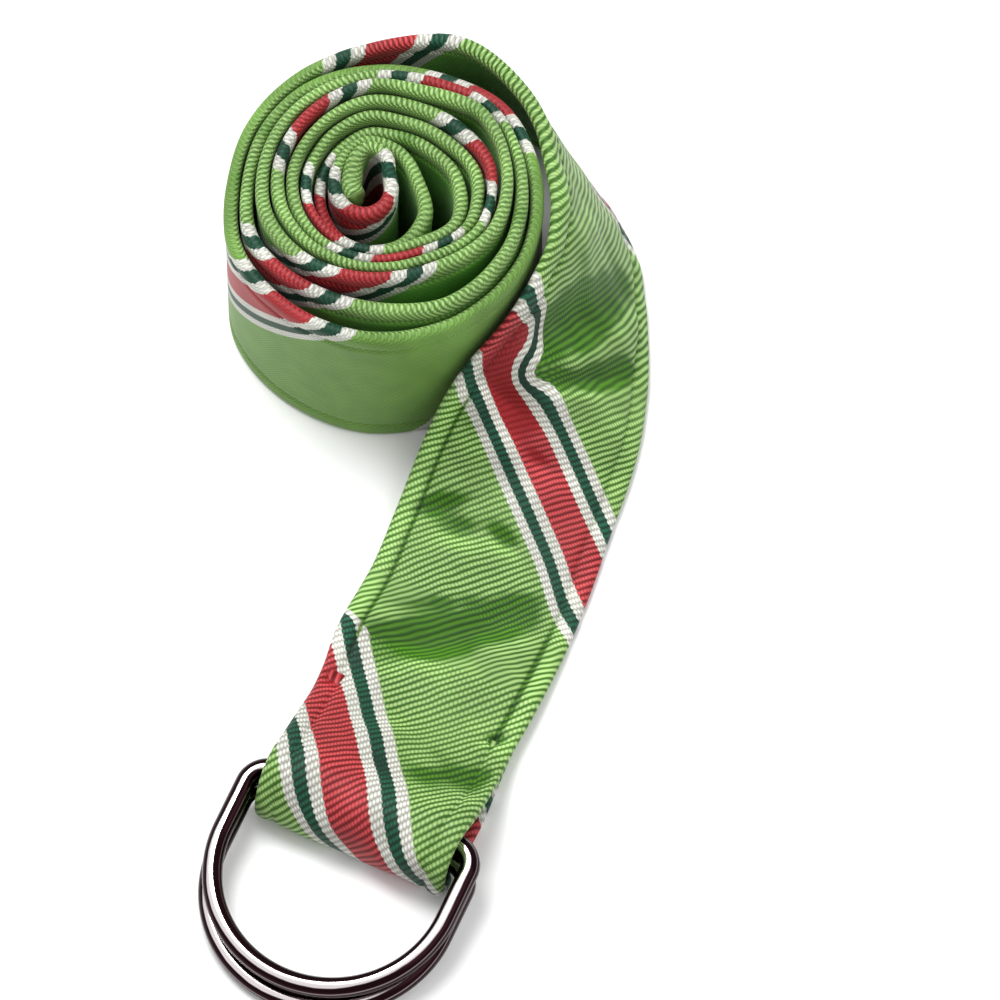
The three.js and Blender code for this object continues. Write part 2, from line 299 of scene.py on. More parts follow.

# Weave of the silk: noises by scale and detail, lengths, shares, and ranges over which a look sets in,
# among them painted shade between threads, in dents, in the roll and in creases, and painted light on
# slopes
RIB_NOISE = (90.0, 2.0)
RIB_WANDER = 1.4
RIDGE_RANGE = (0.40, 1.0)
THREAD_PITCH = 0.56
THREAD_SHADE = 0.60
THREAD_LIGHT = 0.56
THREAD_HEIGHT = 0.25
STRIPE_TOOTH = 0.22
STRIPE_BLUR = 0.09
CALM_NOISE = (70.0, 3.0)
CALM_LEVEL = 0.40
CALM_STRENGTH = 0.9
CALM_RIDGE = 0.55
MOTTLE_NOISE = (150.0, 4.0)
MOTTLE_CLOUDS = 0.5
MOTTLE_HOLLOW = 1.6
MOTTLE_HOLLOW_LEAST = 0.25
SHADED_SLOPE = -0.55
LIT_SLOPE = 0.5
DENT_SHADE_RANGE = (0.13, 0.66)
DENT_SHADE_SHARE = 0.8
ROLLED_SHADE_SHARE = 0.35
INSIDE_PAINTED_LIGHT_SHARE = 0.9
OUTSIDE_PAINTED_SHADE_SHARE = 0.75
CREASE_RANGE = (0.15, 0.8)
CREASE_PAINTED_SHADE = (0.22, 0.38, 0.10, 1.0)
WEAVE_HEIGHT = 0.1
ROLLED_BUMP_LOSS = -0.82
SILK_ROUGHNESS = 0.55
SILK_SPECULAR = 0.22
SILK_SHEEN = 0.06
SILK_SHEEN_ROUGHNESS = 0.4

# Chrome: colours of its painted reflections as above, noises by scale and detail that waver the painted
# highlights, and ranges of how far the metal turns to the painted light
CHROME_PAINTED_HIGHLIGHT = (250, 240, 242)
CHROME_PAINTED_DULL_REFLECTION = (150, 138, 142)
CHROME_PAINTED_DARK_REFLECTION = (34, 17, 21)
CHROME_PAINTED_LIGHT_TOWARDS = (-0.25, -0.2, 0.9)
HIGHLIGHT_JITTER_NOISE = (260.0, 3.0)
HIGHLIGHT_JITTER_REACH = 0.04
HIGHLIGHT_WAVER_NOISE = (42.0, 2.0)
HIGHLIGHT_WAVER_REACH = 0.14
PAINTED_HIGHLIGHT_BAND = (0.925, 0.96)
DULL_REFLECTION_RISE = (0.44, 0.48)
DULL_REFLECTION_FALL = (0.54, 0.60)
DULL_REFLECTION_SHARE = 0.6
LOW_HIGHLIGHT_RISE = (0.04, 0.12)
LOW_HIGHLIGHT_FALL = (0.28, 0.38)
LOW_HIGHLIGHT_BACK = (-0.05, 0.35)
CHROME_ROUGHNESS = 0.16

# Numbers of the Mix node's colour sockets
MIX_COLOURS_IN = (6, 7)
MIX_COLOUR_OUT = 2

# Camera, matched to the photograph, with its target measured in the frame
PHOTO_PIXELS = 1000
PIXELS_PER_MM = 5.4
CAMERA_ELEVATION = 63.5
CAMERA_DISTANCE = 2500
CAMERA_TARGET = (13.6, 12.1, 0.0)
SENSOR_WIDTH = 36
CAMERA_NEAREST = 50
CAMERA_FARTHEST = 20000

# Studio, in metres and watts
FLOOR_HALF_WIDTH = 3.0
FLOOR_COLOUR = (0.9, 0.9, 0.9, 1.0)
FLOOR_ROUGHNESS = 0.9
KEY_LIGHT = {"place": (-0.25, 0.35, 0.9), "width": 0.5, "power": 9.8}
FILL_LIGHT = {"place": (0.6, -0.3, 0.8), "width": 0.6, "power": 1.8}
SKY_COLOUR = (1.0, 1.0, 1.0, 1.0)
SKY_STRENGTH = 0.78


def unit(vectors):
    return vectors / np.linalg.norm(vectors, axis=-1, keepdims=True)


def polar(radius, degrees):
    angle = math.radians(degrees)
    return np.array([radius * math.cos(angle), radius * math.sin(angle), 0.0])


def smoothstep(value, low, high):
    share = np.clip((value - low) / (high - low), 0, 1)
    return share * share * (3 - 2 * share)


def catmull_rom(points, shares):
    """Points on the centripetal curve through the given points, at shares from 0 to 1 of its spans."""
    points = np.asarray(points, float)
    first = 2 * points[0] - points[1]
    last = 2 * points[-1] - points[-2]
    padded = np.vstack([first, points, last])
    spans = len(points) - 1
    place = np.clip(np.asarray(shares) * spans, 0, spans)
    span = np.minimum(place.astype(int), spans - 1)
    weight = (place - span)[:, None]
    p0, p1, p2, p3 = (padded[span + offset] for offset in range(4))
    gap0, gap1, gap2 = (
        np.maximum(np.sqrt(np.linalg.norm(b - a, axis=1)), SMALLEST_GAP)[:, None]
        for a, b in ((p0, p1), (p1, p2), (p2, p3))
    )
    tangent1 = ((p1 - p0) / gap0 - (p2 - p0) / (gap0 + gap1) + (p2 - p1) / gap1) * gap1
    tangent2 = ((p2 - p1) / gap1 - (p3 - p1) / (gap1 + gap2) + (p3 - p2) / gap2) * gap1
    square = weight ** 2
    cube = weight ** 3
    return (
        p1
        + tangent1 * weight
        + (3 * (p2 - p1) - 2 * tangent1 - tangent2) * square
        + (2 * (p1 - p2) + tangent1 + tangent2) * cube
    )


def arc_lengths(points, start):
    """Distances along a line of points, measured from one of them."""
    travelled = np.concatenate([[0], np.cumsum(np.linalg.norm(np.diff(points, axis=0), axis=1))])
    return travelled - travelled[start]


def loop_point(back, aside, height):
    tip = np.array([LOOP_TIP[0], LOOP_TIP[1], height])
    return tip + polar(back, 90 - LOOP_HEADING) + polar(aside, LOOP_ACROSS)


def rise_at(turns):
    """Height of the strap's lower edge, at turns in from the start of the roll."""
    after = int(np.searchsorted(ROLL_RISE_TURNS, turns))
    if after == 0:
        return ROLL_RISE[0]
    if after == len(ROLL_RISE_TURNS):
        return ROLL_RISE[-1]
    share = (turns - ROLL_RISE_TURNS[after - 1]) / (ROLL_RISE_TURNS[after] - ROLL_RISE_TURNS[after - 1])
    smooth = share * share * (3 - 2 * share)
    return ROLL_RISE[after - 1] + smooth * (ROLL_RISE[after] - ROLL_RISE[after - 1])


def strap_guides():
    """The strap's left and right edges, a pair of points for each section of the tables."""
    left = []
    right = []
    for back, height, shift, widen in LOOP_ROWS:
        left.append(loop_point(back, shift - HALF_WIDTH, height))
        right.append(loop_point(back, shift + HALF_WIDTH + widen, height))
    for row in RUN_ROWS:
        left.append(np.array(row[:3]))
        right.append(np.array(row[3:]))
    for index, radius in enumerate(radius for turn in ROLL_TURNS for radius in turn):
        foot = polar(radius, ROLL_START + 360 * index / HOURS)
        foot[2] = rise_at(index / HOURS)
        right.append(foot)
        left.append(foot + [0, 0, STRAP_WIDTH])
    return np.array(left), np.array(right)


def strap_sections():
    """Frames and arc lengths of the strap at even steps along it."""
    left_guides, right_guides = strap_guides()
    fine = np.linspace(0, 1, CURVE_SAMPLES)
    left = catmull_rom(left_guides, fine)
    right = catmull_rom(right_guides, fine)
    tip_share = LOOP_TIP_ROW / (len(left_guides) - 1)
    tip = int(round(tip_share * (len(fine) - 1)))
    left_arc, right_arc, middle_arc = (arc_lengths(edge, tip) for edge in (left, right, (left + right) / 2))
    run = np.arange(middle_arc[0], RUN_LENGTH, RUN_SPACING)
    roll = np.arange(run[-1] + ROLL_SPACING, middle_arc[-1], ROLL_SPACING)
    stops = np.concatenate([run, roll, middle_arc[-1:]])
    share = np.interp(stops, middle_arc, fine)
    at_left = catmull_rom(left_guides, share)
    at_right = catmull_rom(right_guides, share)
    middle = (at_left + at_right) / 2
    along = unit(np.gradient(middle, axis=0))
    across = unit(at_left - at_right)
    return {
        "middle": middle,
        "across": across,
        "outward": unit(np.cross(along, across)),
        "stretch": np.linalg.norm(at_left - at_right, axis=1) / STRAP_WIDTH,
        "half_thickness": rim_half_thickness(at_left, stops),
        "stops": stops,
        "left_arc": np.interp(share, fine, left_arc),
        "right_arc": np.interp(share, fine, right_arc),
    }


def rim_half_thickness(left_edge, stops):
    """Half the thickness outwards and inwards at the rim, where the cloth swells to its neighbours."""
    radius = np.hypot(left_edge[:, 0], left_edge[:, 1])
    turn = np.unwrap(np.arctan2(left_edge[:, 1], left_edge[:, 0])) / (2 * math.pi)
    rolled = stops > RIM_START
    spare = 2 * RIM_HALF_THICKEST + RIM_GAP
    outer_radius = np.interp(turn - 1, turn[rolled], radius[rolled], left=FAR_OFF)
    inner_radius = np.interp(turn + 1, turn[rolled], radius[rolled], right=-FAR_OFF)
    halves = []
    for room in (outer_radius - radius, radius - inner_radius):
        half = np.clip((np.minimum(room, spare) - RIM_GAP) / 2, RIM_HALF_THINNEST, RIM_HALF_THICKEST)
        halves.append(np.where(rolled, half, HALF_THICKNESS))
    inner_lobe = smoothstep(stops, stops[-1] - LOBE_LENGTH, stops[-1] - LOBE_LENGTH / 3)
    swell = smoothstep(stops, RIM_START, RIM_START + RIM_SWELL_LENGTH)
    return [
        HALF_THICKNESS + swell * (half - HALF_THICKNESS) + inner_lobe * (LOBE_HALF_THICKNESS - half)
        for half in halves
    ]


def half_thickness_at(inset, half):
    """Half the strap's thickness at a distance in from the edge: a round edge and a pressed crease."""
    round_part = np.clip(inset / half, 0, 1)
    profile = half * np.sqrt(1 - (1 - round_part) ** 2)
    crease = np.exp(-(((inset - CREASE_INSET) / CREASE_HALF_WIDTH) ** 2))
    return profile - CREASE_DEPTH * crease


def section_outline():
    """Points round the section: place across, side of the middle, and way round from the left edge."""
    inset = np.array(EDGE_LINES + [CREASE_INSET + step for step in CREASE_LINES] + FACE_LINES)
    left_side = HALF_WIDTH - inset
    outer_across = np.concatenate([left_side, [0.0], -left_side[::-1]])
    inner_across = outer_across[::-1][1:-1]
    round_left_edge = inner_across - HALF_WIDTH
    round_right_edge = STRAP_WIDTH + HALF_WIDTH + inner_across
    outer_cloth = HALF_WIDTH - outer_across
    inner_cloth = np.where(inner_across > 0, round_left_edge, round_right_edge)
    across = np.concatenate([outer_across, inner_across])
    side = np.concatenate([np.ones(len(outer_across)), -np.ones(len(inner_across))])
    cloth = np.concatenate([outer_cloth, inner_cloth])
    return across, side, cloth


def dent_at(along, across):
    """How far dents and ripples lift the cloth, at places along and across the strap."""
    lift = np.zeros(np.broadcast(along, across).shape)
    for dent_along, dent_across, length, breadth, slant, depth in DENTS + FINE_DENTS:
        angle = math.radians(slant)
        forward = along - dent_along
        sideways = across - dent_across
        lengthwise = (forward * math.sin(angle) + sideways * math.cos(angle)) / length
        breadthwise = (forward * math.cos(angle) - sideways * math.sin(angle)) / breadth
        lift -= depth * np.exp(-(lengthwise ** 2) - breadthwise ** 2)
    fade = 1 - smoothstep(along, *RIPPLE_FADE)
    for wave_along, wave_across, phase, height in RIPPLES:
        turns = along / wave_along + across / wave_across + phase
        lift += fade * height * np.sin(2 * math.pi * turns)
    return lift


def rolled_share(stops):
    return smoothstep(stops, *RIM_WAVES_START)


def rim_wave(stops, shift=0.0):
    """Unevenness along the roll's rims, from -1 to 1, and 0 on the flat run."""
    wave = sum(
        share * np.sin(2 * math.pi * (stops / length + phase + shift))
        for length, phase, share in RIM_WAVES
    )
    return rolled_share(stops) * wave


def section_depths(sections, across, side):
    """How far each point of each section is off the middle of the cloth."""
    inset = HALF_WIDTH - np.abs(across)
    near_rim = 1 - smoothstep(HALF_WIDTH - across, *RIM_FADE)
    outwards, inwards = sections["half_thickness"]
    stops = sections["stops"]
    pinch = 1 - RIM_PINCH * (rolled_share(stops) - rim_wave(stops)) / 2
    at_rim = np.where(side[None, :] > 0, outwards[:, None], inwards[:, None]) * pinch[:, None]
    half = HALF_THICKNESS + near_rim[None, :] * (at_rim - HALF_THICKNESS)
    return side[None, :] * half_thickness_at(inset[None, :], half)


def strap_points(sections, across, side):
    """Points of the strap, a row for each section, and how far dents and ripples lift each of them."""
    stops = sections["stops"]
    depth = section_depths(sections, across, side)
    edge_fade = np.clip((HALF_WIDTH - np.abs(across)) / DENT_EDGE_FADE, 0, 1)
    lift = edge_fade * dent_at(stops[:, None], (HALF_WIDTH - across)[None, :])
    near_rim = smoothstep(across, 0, HALF_WIDTH)
    waver = RIM_WAVER * rim_wave(stops, RIM_WAVER_PHASE)[:, None] * near_rim[None, :]
    reach = across[None, :] * sections["stretch"][:, None] + waver
    points = (
        sections["middle"][:, None, :]
        + sections["across"][:, None, :] * reach[:, :, None]
        + sections["outward"][:, None, :] * (depth + lift)[:, :, None]
    )
    points[:, :, 2] = np.maximum(points[:, :, 2], 0)
    return points + EYE, lift


def seam_block(across, side):
    """Points of the sewn block that joins the two layers at the loop's back end, a ring for each end."""
    half = SEAM_THICKNESS / 2
    round_part = np.clip((HALF_WIDTH - np.abs(across)) / half, 0, 1)
    depth = side * half * np.sqrt(1 - (1 - round_part) ** 2)
    rings = []
    for back in (SEAM_FROM, SEAM_TO):
        middle = loop_point(back, SEAM_SHIFT, SEAM_HEIGHT)
        rings.append([middle + polar(-a, LOOP_ACROSS) + [0, 0, d] for a, d in zip(across, depth)])
    return np.array(rings) + EYE


def crease_strength(stops, crease):
    return smoothstep(stops, *crease["start"]) * (1 - CREASE_LOSS * smoothstep(stops, *crease["faint"]))


def cloth_shades(stops, across, side, lift):
    """How the cloth looks at each point, from 0 to 1, mostly as masks of painted shade and painted light,
    and the painted light and shade of its slopes from -1 to 1.
    """
    rolled = smoothstep(stops, *ROLLED_UP)
    outermost = 1 - smoothstep(stops, *OUTERMOST_END)
    outside = np.where(side > 0, outermost, 0.0)
    turned_in = np.where(side > 0, rolled * (1 - outermost), smoothstep(stops, *FACE_TURNED_IN))

    left_strength = crease_strength(stops, LEFT_CREASE)
    right_strength = crease_strength(stops, RIGHT_CREASE)
    strength = (1 - rolled) * np.where(across > 0, left_strength, right_strength)
    spread = np.where(across > 0, LEFT_CREASE["spread"], RIGHT_CREASE["spread"])
    off_crease = HALF_WIDTH - np.abs(across) - CREASE_INSET

    # Painted highlight on the margin between the crease and the edge
    margin_painted_light = MARGIN_PAINTED_LIGHT * strength * np.exp(-(((off_crease + MARGIN_OFF_CREASE) / MARGIN_SPREAD) ** 2))
    # Painted light on slopes that face the roll, painted shade on slopes that face the rings
    slope_painted_light = -np.gradient(lift, stops[:, 0], axis=0) / FULL_TONE_SLOPE
    # Lightening and darkening in waves along the roll's rims
    rim_tone = RIM_TONE * rim_wave(stops, RIM_TONE_PHASE) * smoothstep(across, 0, HALF_WIDTH)
    shades = {
        # Mask of painted shade in dents, stronger as the dent deepens
        "hollow": 1 - np.exp(-np.maximum(-lift - HOLLOW_START, 0) / HOLLOW_DEPTH),
        # Mask of painted shade along each crease
        "crease": strength * np.exp(-((off_crease / spread) ** 2)),
        "calm": rolled * np.maximum(RIM_CALM, OUTSIDE_CALM * outside),
        # Where the roll's inner faces get painted light
        "inside": turned_in * smoothstep(HALF_WIDTH - across, *INSIDE_BELOW_RIM),
        # Where the roll's outer wall gets painted shade
        "outside": rolled * outside,
        "painted_light": np.clip(slope_painted_light + margin_painted_light, -1, 1) + rim_tone,
        "rolled": rolled,
    }
    return {label: np.broadcast_to(values, lift.shape) for label, values in shades.items()}


def stripe_phase(place):
    """Stripe count at a distance along the cloth: a whole number in the middle of each stripe."""
    centres = np.array(STRIPE_CENTRES, float)
    index = np.arange(len(centres))
    half = STRIPE_HALF_SPAN / STRIPE_PITCH
    knots = np.stack([centres - STRIPE_HALF_SPAN, centres + STRIPE_HALF_SPAN], axis=1).ravel()
    values = np.stack([index - half, index + half], axis=1).ravel()
    knots = np.concatenate([[knots[0] - STRIPE_PITCH], knots, [knots[-1] + STRIPE_PITCH]])
    values = np.concatenate([[values[0] - 1], values, [values[-1] + 1]])
    return np.interp(place, knots, values)


def cloth_uv(place, cloth):
    """Distances in metres square to the stripes and square to the ribs, at places on the strap."""
    drawn = place + cloth + np.interp(place, DRAW_ALONG, DRAW_BACK)
    for along, across, length, breadth, pull in STRIPE_PULLS:
        lengthwise = (place - along) / length
        breadthwise = (cloth - across) / breadth
        drawn = drawn + pull * np.exp(-(lengthwise ** 2) - breadthwise ** 2)
    stripes = stripe_phase(drawn) * STRIPE_PITCH / math.sqrt(2)
    steps = np.arange(RIB_ALONG[0], STRAP_LENGTH, RIB_STEP)
    rates = np.interp(steps[:-1] + RIB_STEP / 2, RIB_ALONG, RIB_RATE_ALONG)
    travelled = np.concatenate([[0], np.cumsum(rates * RIB_STEP)])
    ribs_along = np.interp(place, steps, travelled)
    ribs_across = np.interp(place, RIB_ALONG, RIB_RATE_ACROSS) * (HALF_WIDTH - cloth)
    return np.stack([stripes, (ribs_along + ribs_across) / math.sqrt(2)], axis=-1) * MM


def grid_corners(count, sides, closed=False):
    """Row and column of the corners of each face between rings of points, closed or not at the end."""
    row = np.arange(count if closed else count - 1)[:, None]
    column = np.arange(sides)[None, :]
    next_row = (row + 1) % count
    next_column = (column + 1) % sides
    shape = (len(row), sides)
    rows = [np.broadcast_to(r, shape) for r in (row, next_row, next_row, row)]
    columns = [np.broadcast_to(c, shape) for c in (column, column, next_column, next_column)]
    return np.stack(rows, axis=-1).reshape(-1, 4), np.stack(columns, axis=-1).reshape(-1, 4)


def end_corners(count, sides):
    """Row and column of the corners of the faces that close the first and the last ring of points."""
    columns = np.arange(sides)
    rows = np.repeat([[0], [count - 1]], sides, axis=1)
    return rows, np.stack([columns, columns[::-1]])


def capped_faces(count, sides, start=0):
    """Point numbers of the faces between rings of points and of the two ends, from a first point number."""
    faces = []
    for rows, columns in (grid_corners(count, sides), end_corners(count, sides)):
        faces += (start + rows * sides + columns).tolist()
    return faces


def strap_uv(place, cloth):
    """Cloth coordinates at each corner of the strap's faces, the two ends last."""
    rows, columns = grid_corners(*place.shape)
    corner_cloth = cloth[columns]

    # The cloth's coordinate starts and ends in the middle of the inner face
    jump = np.ptp(corner_cloth, axis=1) > STRAP_WIDTH / 2
    corner_cloth = np.where(jump[:, None], corner_cloth[:, :1], corner_cloth)
    between = cloth_uv(place[rows, columns], corner_cloth)
    rows, columns = end_corners(*place.shape)
    ends = cloth_uv(place[rows, columns], cloth[columns])
    return np.concatenate([between.reshape(-1, 2), ends.reshape(-1, 2)])


def block_uv(cloth):
    """Cloth coordinates at each corner of the sewn block's faces."""
    at_points = cloth_uv(np.full(len(cloth), SEAM_FROM), cloth)
    between = grid_corners(2, len(cloth))[1]
    ends = end_corners(2, len(cloth))[1]
    return at_points[np.concatenate([between.ravel(), ends.ravel()])]


def make_mesh(name, points, faces, corner_uv=None, point_values=None):
    mesh = bpy.data.meshes.new(name)
    mesh.from_pydata((points * MM).tolist(), [], faces)
    mesh.update()
    if corner_uv is not None:
        layer = mesh.uv_layers.new(name="cloth")
        layer.data.foreach_set("uv", np.asarray(corner_uv, np.float32).ravel())
    for label, values in (point_values or {}).items():
        attribute = mesh.attributes.new(label, "FLOAT", "POINT")
        attribute.data.foreach_set("value", np.asarray(values, np.float32))
    mesh.polygons.foreach_set("use_smooth", np.ones(len(mesh.polygons), bool))
    piece = bpy.data.objects.new(name, mesh)
    bpy.context.scene.collection.objects.link(piece)
    return piece


def build_strap():
    sections = strap_sections()
    across, side, cloth = section_outline()
    points, lift = strap_points(sections, across, side)
    count, sides = lift.shape
    from_left = (HALF_WIDTH - across) / STRAP_WIDTH
    place = sections["left_arc"][:, None] * (1 - from_left) + sections["right_arc"][:, None] * from_left
    shades = cloth_shades(sections["stops"][:, None], across[None, :], side[None, :], lift)
    block = seam_block(across, side)
    return make_mesh(
        "silk_strap",
        np.concatenate([points.reshape(-1, 3), block.reshape(-1, 3)]),
        capped_faces(count, sides) + capped_faces(2, sides, start=count * sides),
        np.concatenate([strap_uv(place, cloth), block_uv(cloth)]),
        {label: np.concatenate([values.ravel(), np.zeros(2 * sides)]) for label, values in shades.items()},
    )


def ring_path():
    """The middle of a ring's wire, from the right end of its bar round the bow to the left end."""
    corner_x = RING_HALF_WIDTH - RING_CORNER
    bow_y = RING_HALF_WIDTH - RING_DEPTH
    points = []
    for angle in np.linspace(math.pi / 2, 0, CORNER_STEPS):
        points.append([corner_x + RING_CORNER * math.cos(angle), RING_CORNER * (math.sin(angle) - 1)])
    for angle in np.linspace(0, -math.pi, BOW_STEPS):
        points.append([RING_HALF_WIDTH * math.cos(angle), bow_y + RING_HALF_WIDTH * math.sin(angle)])
    for angle in np.linspace(math.pi, math.pi / 2, CORNER_STEPS):
        points.append([-corner_x + RING_CORNER * math.cos(angle), RING_CORNER * (math.sin(angle) - 1)])
    return np.array([[x, y, 0.0] for x, y in points])


def ring_rotation():
    """The rings' turn on the floor, after tipping the bow down to it."""
    tilt = math.asin((LOWER_BAR_HEIGHT - WIRE_RADIUS) / RING_DEPTH)
    turn = math.radians(RING_ACROSS)
    tip_down = np.array([
        [1, 0, 0],
        [0, math.cos(tilt), -math.sin(tilt)],
        [0, math.sin(tilt), math.cos(tilt)],
    ])
    swing = np.array([
        [math.cos(turn), -math.sin(turn), 0],
        [math.sin(turn), math.cos(turn), 0],
        [0, 0, 1],
    ])
    return swing @ tip_down


def build_ring(name, shift, lift):
    """A ring with its bow sloping down to the floor, moved in its own plane and off it."""
    path = ring_path()
    along = unit(np.roll(path, -1, axis=0) - np.roll(path, 1, axis=0))
    sideways = np.stack([along[:, 1], -along[:, 0], np.zeros(len(path))], axis=1)
    angle = 2 * math.pi * np.arange(WIRE_SIDES) / WIRE_SIDES
    wire = (
        path[:, None, :]
        + WIRE_RADIUS * np.cos(angle)[None, :, None] * sideways[:, None, :]
        + WIRE_RADIUS * np.sin(angle)[None, :, None] * np.array([0, 0, 1.0])
    )
    wire = (wire + [0, shift, lift]) @ ring_rotation().T
    wire = wire + loop_point(LOWER_BAR_BACK, LOWER_BAR_ASIDE, LOWER_BAR_HEIGHT) + EYE
    rows, columns = grid_corners(len(path), WIRE_SIDES, closed=True)
    return make_mesh(name, wire.reshape(-1, 3), (rows * WIRE_SIDES + columns).tolist())


def srgb(colour):
    """The linear colour that a shader takes for one given from 0 to 255."""
    shares = [value / 255 for value in colour]
    linear = [share / 12.92 if share <= 0.04045 else ((share + 0.055) / 1.055) ** 2.4 for share in shares]
    return (*linear, 1.0)


class Nodes:
    """A short way to write a material's node tree."""

    def __init__(self, name):
        self.material = bpy.data.materials.new(name)
        self.material.use_nodes = True
        self.tree = self.material.node_tree
        self.shader = self.tree.nodes["Principled BSDF"]

    def add(self, kind):
        return self.tree.nodes.new("ShaderNode" + kind)

    def set(self, target, source):
        """Give a socket a number, a colour or the output of another node."""
        if isinstance(source, (int, float, tuple)):
            target.default_value = source
        else:
            self.tree.links.new(source, target)

    def shade(self, values):
        for name, value in values.items():
            self.set(self.shader.inputs[name], value)

    def math(self, operation, a, b=0.0, c=0.0, clamp=False):
        node = self.add("Math")
        node.operation = operation
        node.use_clamp = clamp
        for socket, value in zip(node.inputs, (a, b, c)):
            self.set(socket, value)
        return node.outputs[0]

    def ridges(self, count):
        """A row of round ridges from 0 to 1, one for each whole number."""
        return self.math("SINE", self.math("MULTIPLY", self.math("FRACT", count), math.pi))

    def sway(self, value, wave, reach):
        """A value moved by a wave from 0 to 1, half the reach each way."""
        return self.math("MULTIPLY_ADD", self.math("SUBTRACT", wave, 0.5), reach, value)

    def mix(self, factor, a, b, blend="MIX"):
        node = self.add("Mix")
        node.data_type = "RGBA"
        node.blend_type = blend
        self.set(node.inputs["Factor"], factor)
        for number, value in zip(MIX_COLOURS_IN, (a, b)):
            self.set(node.inputs[number], value)
        return node.outputs[MIX_COLOUR_OUT]

    def smooth(self, value, low, high):
        node = self.add("MapRange")
        node.interpolation_type = "SMOOTHSTEP"
        self.set(node.inputs["Value"], value)
        self.set(node.inputs["From Min"], low)
        self.set(node.inputs["From Max"], high)
        return node.outputs["Result"]

    def band(self, value, rise, fall):
        """1 between two levels of a value and 0 outside them."""
        return self.math("SUBTRACT", self.smooth(value, *rise), self.smooth(value, *fall))

    def noise(self, vector, scale, detail):
        node = self.add("TexNoise")
        self.set(node.inputs["Vector"], vector)
        self.set(node.inputs["Scale"], scale)
        self.set(node.inputs["Detail"], detail)
        return node.outputs["Fac"]

    def split(self, vector):
        node = self.add("SeparateXYZ")
        self.set(node.inputs[0], vector)
        return node.outputs

    def attribute(self, name):
        node = self.add("Attribute")
        node.attribute_name = name
        return node.outputs["Fac"]


def cloth_coordinates(nodes):
    """The cloth's texture vector, and in millimetres the distances square to its stripes and ribs."""
    layer = nodes.add("UVMap")
    layer.uv_map = "cloth"
    vector = layer.outputs[0]
    across = nodes.split(vector)
    return vector, nodes.math("MULTIPLY", across[0], 1 / MM), nodes.math("MULTIPLY", across[1], 1 / MM)


def ribs_and_threads(nodes, vector, stripe, rib):
    """Height of the ribs, a little uneven, and of the threads along them, half a thread on at each rib."""
    wander = nodes.noise(vector, *RIB_NOISE)
    rib_count = nodes.math("DIVIDE", nodes.math("MULTIPLY_ADD", wander, RIB_WANDER, rib), RIB_PITCH)
    thread_shift = nodes.math("MULTIPLY", nodes.math("FLOOR", rib_count), 0.5)
    thread_count = nodes.math("MULTIPLY_ADD", stripe, 1 / THREAD_PITCH, thread_shift)
    return nodes.ridges(rib_count), nodes.ridges(thread_count)


def lit_ridges(nodes, vector, ribs):
    """How much of the ridge's colour, with its painted light, shows against the groove's painted shade,
    less sharply where the ribs are pressed out.
    """
    patches = nodes.math("SUBTRACT", nodes.noise(vector, *CALM_NOISE), CALM_LEVEL)
    uneven = nodes.math("MULTIPLY", patches, CALM_STRENGTH, clamp=True)
    calm = nodes.math("ADD", nodes.attribute("calm"), uneven, clamp=True)
    sharp = nodes.math("MULTIPLY", nodes.smooth(ribs, *RIDGE_RANGE), nodes.math("SUBTRACT", 1.0, calm))
    return nodes.math("ADD", sharp, nodes.math("MULTIPLY", calm, CALM_RIDGE))


def painted_dent_shade(nodes, painted_light, mottle):
    """How much painted shade the cloth gets in dents and on slopes towards the rings, in mottled patches.
    """
    turned_away = nodes.math("MULTIPLY", nodes.math("MINIMUM", painted_light, 0.0), SHADED_SLOPE)
    hollow = nodes.math("ADD", nodes.attribute("hollow"), turned_away)
    patches = nodes.math("MULTIPLY_ADD", mottle, MOTTLE_HOLLOW, MOTTLE_HOLLOW_LEAST)
    return nodes.smooth(nodes.math("MULTIPLY", hollow, patches), *DENT_SHADE_RANGE)


def stripe_colours(nodes, ridge, dent_shade, rolled):
    """Colours of the stripes from the red in their middle outwards, the green ground last, with painted
    shade in dents and in the roll and painted light or shade on the roll's inner and outer faces.
    """
    # Painted shade for the red and teal, in dents and in the roll
    painted_shade = nodes.math(
        "MAXIMUM",
        nodes.math("MULTIPLY", dent_shade, DENT_SHADE_SHARE),
        nodes.math("MULTIPLY", rolled, ROLLED_SHADE_SHARE),
    )

    # Each colour as a ridge with painted light and a groove with painted shade
    def ribbed(groove_colour, ridge_colour):
        return nodes.mix(ridge, srgb(groove_colour), srgb(ridge_colour))

    red = nodes.mix(painted_shade, ribbed(RED_SHADED_GROOVE, RED_LIT_RIDGE), srgb(RED_PAINTED_SHADE))
    white = ribbed(WHITE_SHADED_GROOVE, WHITE_LIT_RIDGE)
    teal = nodes.mix(painted_shade, ribbed(TEAL_SHADED_GROOVE, TEAL_LIT_RIDGE), srgb(TEAL_SHADED_GROOVE))
    green = ribbed(GREEN_SHADED_GROOVE, GREEN_LIT_RIDGE)
    # Darker green as painted shade in dents
    green = nodes.mix(dent_shade, green, ribbed(GREEN_DENT_SHADE_GROOVE, GREEN_DENT_SHADE_RIDGE))
    # Painted light on the roll's inner faces
    inside = nodes.math("MULTIPLY", nodes.attribute("inside"), INSIDE_PAINTED_LIGHT_SHARE)
    # Painted shade on the roll's outer wall
    outside = nodes.math("MULTIPLY", nodes.attribute("outside"), OUTSIDE_PAINTED_SHADE_SHARE)
    green = nodes.mix(inside, green, srgb(GREEN_INSIDE_PAINTED_LIGHT))
    green = nodes.mix(outside, green, srgb(GREEN_OUTSIDE_PAINTED_SHADE))
    return [red, white, teal, white, green]


